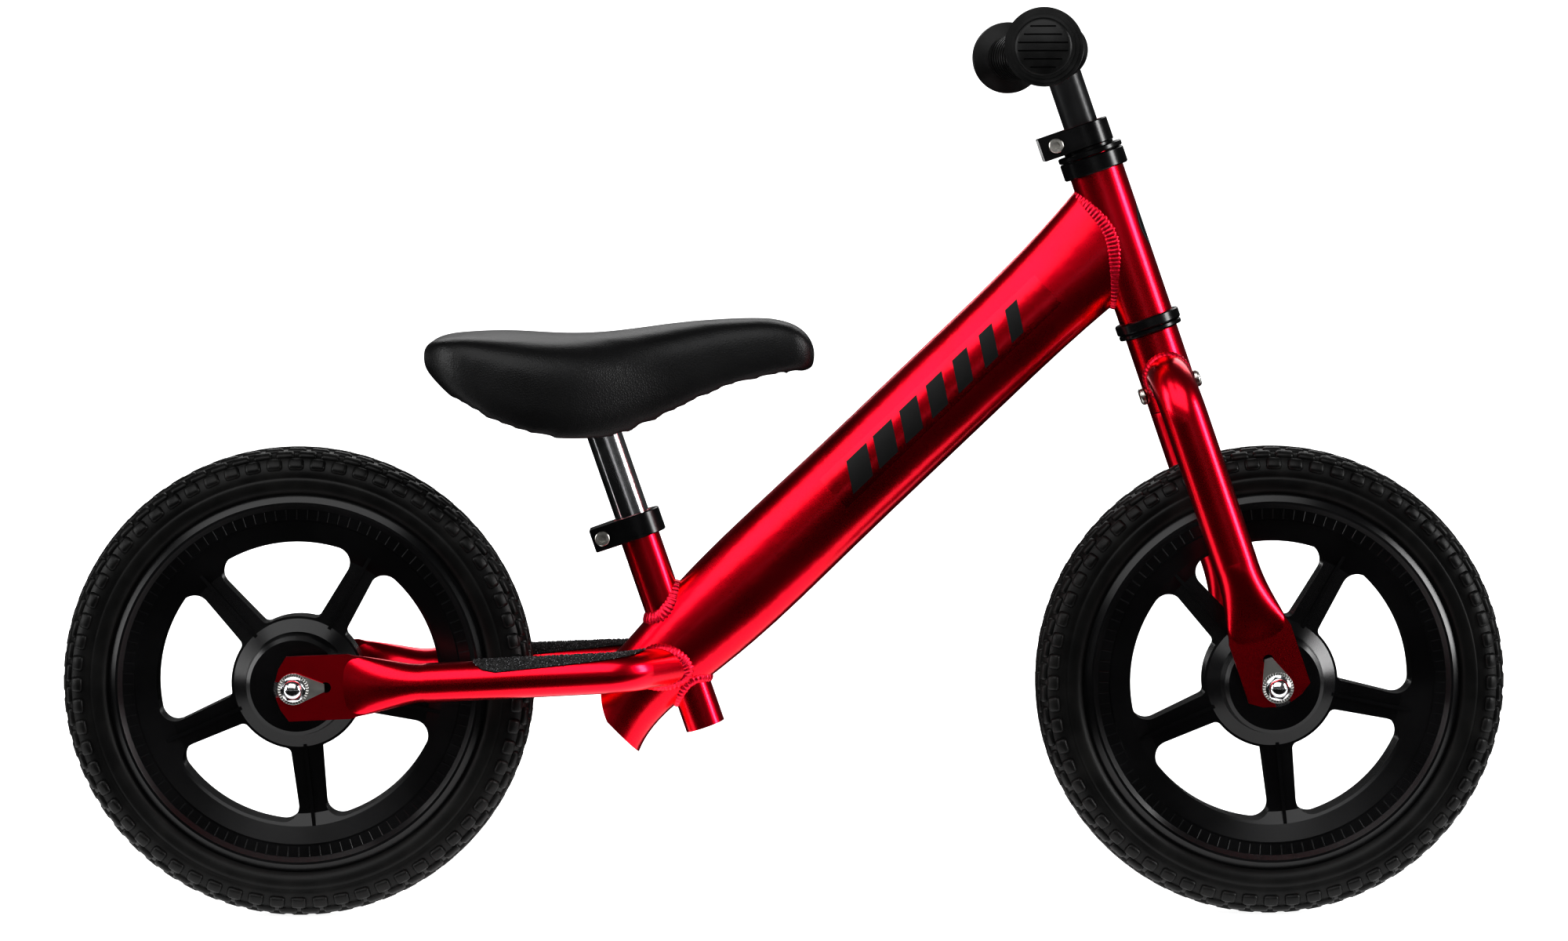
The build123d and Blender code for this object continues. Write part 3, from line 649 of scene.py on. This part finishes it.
def turned_ring(name, outline, axle, steps):
    """A closed outline of (across, out) pairs spun round an axle."""
    bpy.ops.mesh.primitive_circle_add(vertices=len(outline), radius=1)
    ring = bpy.context.object
    ring.name = name
    for vertex, (across, out) in zip(ring.data.vertices, outline):
        vertex.co = axle + Vector((0, across, out))
    bpy.ops.object.mode_set(mode="EDIT")
    bpy.ops.mesh.select_all(action="SELECT")
    bpy.ops.mesh.spin(steps=steps, angle=2 * pi, center=axle, axis=across_bike)
    bpy.ops.mesh.select_all(action="SELECT")
    bpy.ops.mesh.remove_doubles(threshold=0.00002)
    bpy.ops.mesh.normals_make_consistent(inside=False)
    bpy.ops.object.mode_set(mode="OBJECT")
    bpy.ops.object.shade_smooth()
    return ring


for wheel, axle in (("rear", rear_axle), ("front", front_axle)):
    outline = list(sidewall) + [(-across, out) for across, out in reversed(sidewall[:-1])]
    body = turned_ring(f"{wheel}_tyre_body", outline, axle, 2 * knob_pitches)
    pitch = 2 * pi / knob_pitches
    knobs = []
    for across, out, lean, length, width, shift in knob_rows:
        for face in (1, -1) if across else (1,):
            knob = bevelled_block((length, width, knob_depth), 0.002, 2, "knob")
            stand = Matrix.Translation((0, face * across, out - knob_sink))
            stand = stand @ Matrix.Rotation(-face * radians(lean), 4, "X")
            knob.matrix_world = Matrix.Rotation(shift * pitch, 4, across_bike) @ stand
            knobs.append(settle(knob))
    one_pitch = join_all(knobs, "one_pitch")
    placements = [about_axle(axle, pitch * step) for step in range(knob_pitches)]
    tread = copies(one_pitch, "tread", placements)
    bpy.ops.object.shade_smooth_by_angle(angle=radians(50))
    tyre = join_all([body, tread], f"{wheel}_treaded_tyre")
    tyre.data.materials.clear()
    tyre.data.materials.append(foam_finish)
    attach(tyre, f"{wheel}_wheel")
    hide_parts(f"{wheel}_tyre")

# ---------------------------------------------------------------- handlebar and grips
# The T-bar is bent steel tube in satin black paint. The grips are soft rubber sleeves, moulded in
# two halves, with a stepped guard and a domed end that protects the hand in a fall.
paint_finish, shader, place = new_finish(
    "black_paint", (0.008, 0.008, 0.0085), 0.34, 0.0, Specular_IOR_Level=0.5
)
peel = place.noise(420, 2)
fading = place.noise(30, 3).ease(0.3, 0.8)
feed(shader, "Base Color", fading.colours(grey(0.006, 0.0065), grey(0.014, 0.015)))
feed(shader, "Roughness", 0.28 + 0.14 * peel)
raise_surface(shader, peel, 0.00004)
paint(paint_finish, "handlebar")

rubber_finish, shader, place = new_finish(
    "grip_rubber", (0.008, 0.008, 0.008), 0.4, 0.0, Specular_IOR_Level=0.35
)
bloom = place.noise(90, 3)
tooth = place.noise(2600, 2)
feed(shader, "Base Color", bloom.ease(0.35, 0.8).colours(grey(0.005), grey(0.012)))
feed(shader, "Roughness", 0.3 + 0.16 * bloom + 0.06 * tooth)
raise_surface(shader, tooth, 0.00003)
paint(rubber_finish, "grip_left", "grip_right")

# ---------------------------------------------------------------- saddle
# A moulded foam pad in tight black vinyl, drawn over its lower edge and stapled under a plastic
# pan. The pan is screwed to a bracket on the chromed post.
vinyl_finish, shader, place = new_finish(
    "saddle_vinyl", (0.007, 0.007, 0.0073), 0.4, 0.0, Specular_IOR_Level=0.38
)
grain_edges = {"feature": "DISTANCE_TO_EDGE"}
leather_cells = place.node("TexVoronoi", grain_edges, {"Vector": place, "Scale": 620})
worn = place.noise(14, 3)
feed(shader, "Base Color", worn.ease(0.3, 0.75).colours(grey(0.005, 0.0053), grey(0.01, 0.0105)))
feed(shader, "Roughness", 0.36 + 0.12 * worn)
raise_surface(shader, leather_cells.ease(0.0, 0.35) * 0.8 + place.noise(2500, 2) * 0.2, 0.00007)

pan_finish, shader, place = new_finish("saddle_plastic", (0.02, 0.02, 0.02), 0.55)
texture = place.noise(1400, 3)
mottle = place.noise(40, 2).ease(0.3, 0.7)
feed(shader, "Base Color", mottle.colours(grey(0.014), grey(0.028)))
feed(shader, "Roughness", 0.48 + 0.16 * texture)
raise_surface(shader, texture, 0.0001)
paint(pan_finish, "saddle_base", "saddle_bracket")

swell_limit = 0.005
nose_stretch = 1.016
skirt_drop, skirt_depth = 0.0048, 0.07
pad_node = bpy.data.objects["saddle_pad"]
cover = bpy.data.objects.new("saddle_cover", pad_node.data.copy())
scene.collection.objects.link(cover)
bpy.ops.object.select_all(action="DESELECT")
cover.select_set(True)
bpy.context.view_layer.objects.active = cover
bpy.ops.object.mode_set(mode="EDIT")
bpy.ops.mesh.select_all(action="SELECT")
bpy.ops.mesh.remove_doubles(threshold=0.00002)
bpy.ops.object.mode_set(mode="OBJECT")
cover.data.materials.clear()
if "custom_normal" in cover.data.attributes:
    cover.data.attributes.remove(cover.data.attributes["custom_normal"])
apply_modifier(cover, "REMESH", mode="VOXEL", voxel_size=0.003)
apply_modifier(cover, "SMOOTH", factor=0.5, iterations=14)
saddle_back = min(vertex.co.x for vertex in cover.data.vertices)
saddle_top = max(vertex.co.z for vertex in cover.data.vertices)
for vertex in cover.data.vertices:
    vertex.co.x = saddle_back + (vertex.co.x - saddle_back) * nose_stretch
    vertex.co.z -= skirt_drop * min(1, (saddle_top - vertex.co.z) / skirt_depth)

shrink = 0.0002
underside = [vertex.normal.z < -0.35 for vertex in cover.data.vertices]
for vertex, under in zip(cover.data.vertices, underside):
    if not under:
        vertex.co = vertex.co - vertex.normal * shrink
held = cover.vertex_groups.new(name="stapled")
held.add([i for i, under in enumerate(underside) if under], 1.0, "REPLACE")
cloth = cover.modifiers.new("Cloth", "CLOTH")
cloth.settings.use_pressure = True
cloth.settings.uniform_pressure_force = 4
cloth.settings.tension_stiffness = 40
cloth.settings.compression_stiffness = 40
cloth.settings.bending_stiffness = 8
cloth.settings.vertex_group_mass = "stapled"
cloth.settings.effector_weights.gravity = 0
cloth.point_cache.frame_start, cloth.point_cache.frame_end = 1, 20
for step in range(1, 21):
    scene.frame_set(step)
puffed = cover.evaluated_get(bpy.context.evaluated_depsgraph_get()).data
moved = [vertex.co.copy() for vertex in puffed.vertices]
cover.modifiers.remove(cloth)
scene.frame_set(1)
shifts = [target - vertex.co for vertex, target in zip(cover.data.vertices, moved)]
shifts = [shift * min(1, swell_limit / max(shift.length, shrink)) for shift in shifts]
# the vinyl is stiff: each place moves with its neighbours
links = [tuple(edge.vertices) for edge in cover.data.edges]
for _ in range(24):
    sums = [(shift.copy(), 1) for shift in shifts]
    for a, b in links:
        sums[a] = (sums[a][0] + shifts[b], sums[a][1] + 1)
        sums[b] = (sums[b][0] + shifts[a], sums[b][1] + 1)
    shifts = [total / count for total, count in sums]
for vertex, shift in zip(cover.data.vertices, shifts):
    vertex.co = vertex.co + shift
# The cut lower edge is evened out over a narrow band.
pairs = [set(edge.vertices) for edge in cover.data.edges]
lower_edge = set().union(*(pair for pair in pairs if len({underside[v] for v in pair}) == 2))
for _ in range(2):
    lower_edge = lower_edge.union(*(pair for pair in pairs if lower_edge & pair))
edge_group = cover.vertex_groups.new(name="lower_edge")
edge_group.add(sorted(lower_edge), 1.0, "REPLACE")
apply_modifier(cover, "SMOOTH", factor=0.5, iterations=18, vertex_group="lower_edge")
apply_modifier(cover, "SMOOTH", factor=0.5, iterations=3)
apply_modifier(cover, "SUBSURF", levels=1, render_levels=1)
bpy.ops.object.shade_smooth()
cover.data.materials.append(vinyl_finish)
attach(cover, "saddle_unit")
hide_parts("saddle_pad")
